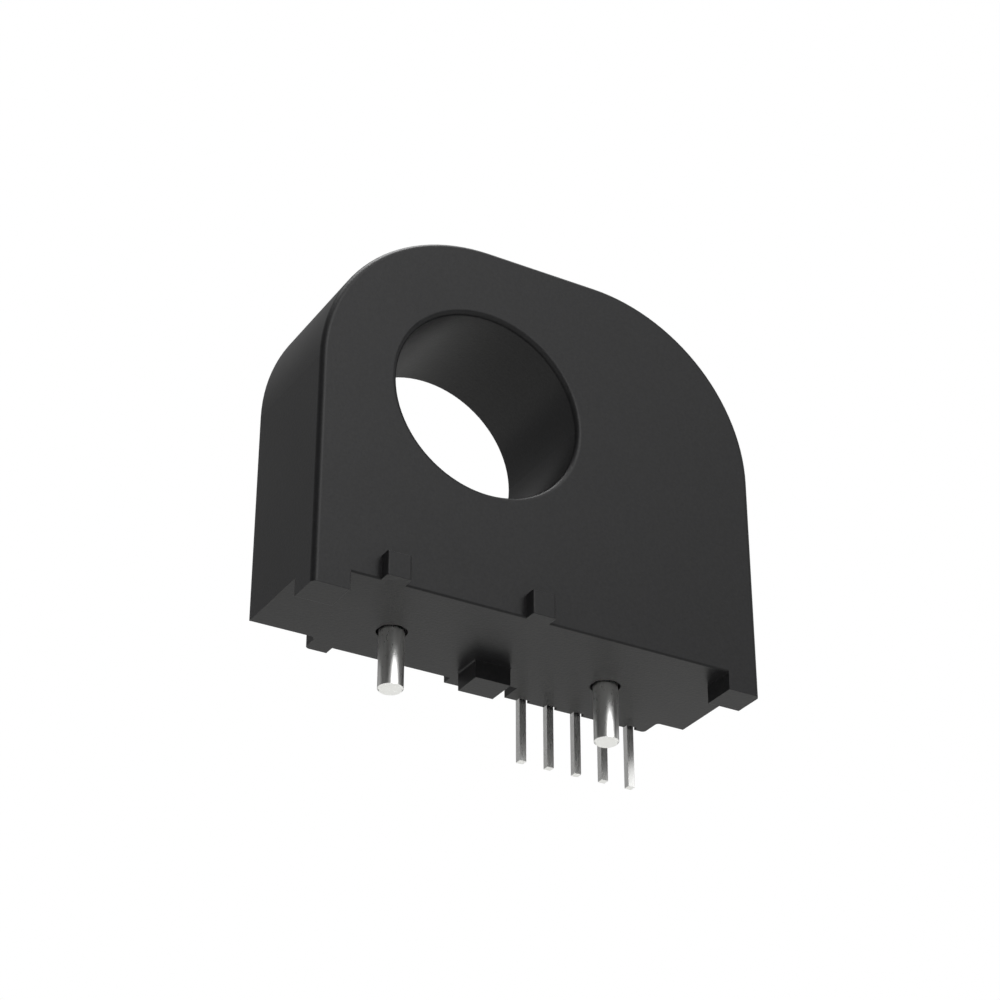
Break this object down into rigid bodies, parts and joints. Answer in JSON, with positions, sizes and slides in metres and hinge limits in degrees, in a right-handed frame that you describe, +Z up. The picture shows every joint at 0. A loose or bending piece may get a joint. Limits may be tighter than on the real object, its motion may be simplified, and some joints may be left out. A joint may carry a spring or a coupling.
{
  "type": "open-loop hall current sensor",
  "caption": "Arched through-hole current sensor for a circuit board, with a round conductor aperture, square signal terminals and round support pins under its case.",
  "frame": {"origin": "on the top face of the circuit board that carries the sensor, midway between the axes of its two support pins", "axes": "+X to the right seen from the front, +Y from the front face to the rear along the aperture, +Z up, away from the carrying board"},
  "size_m": [0.039, 0.0142, 0.0376],
  "materials": {
    "case_plastic": "moulded, fine grain",
    "cover_plastic": "moulded, fine grain",
    "core_steel": "strip wound, varnished",
    "board_laminate": "glass epoxy with green solder mask",
    "package_epoxy": "transfer moulded epoxy",
    "tinned_leads": "tinned copper alloy",
    "chip_ceramic": "fired, matt",
    "resistor_ceramic": "glazed film on alumina",
    "tinned_terminal": "tinned square wire",
    "strip_plastic": "moulded, matt",
    "tinned_pin": "tinned, turned",
    "solder": "reflowed tin alloy"
  },
  "bodies": {
    "root": {"case": "case_plastic", "rear_cover": "cover_plastic", "magnetic_core": "core_steel", "circuit_board": "board_laminate", "hall_sensor_body": "package_epoxy", "hall_sensor_leads": "tinned_leads", "amplifier_body": "package_epoxy", "amplifier_leads": "tinned_leads", "capacitor_1": "chip_ceramic", "capacitor_2": "chip_ceramic", "capacitor_3": "chip_ceramic", "resistor_1": "resistor_ceramic", "resistor_2": "resistor_ceramic", "resistor_3": "resistor_ceramic", "terminal_pin_1": "tinned_terminal", "terminal_pin_2": "tinned_terminal", "terminal_pin_3": "tinned_terminal", "terminal_pin_4": "tinned_terminal", "terminal_pin_5": "tinned_terminal", "terminal_strip": "strip_plastic", "support_pin_left": "tinned_pin", "support_pin_right": "tinned_pin", "terminal_solder": "solder", "hall_solder": "solder"}
  },
  "joints": []
}
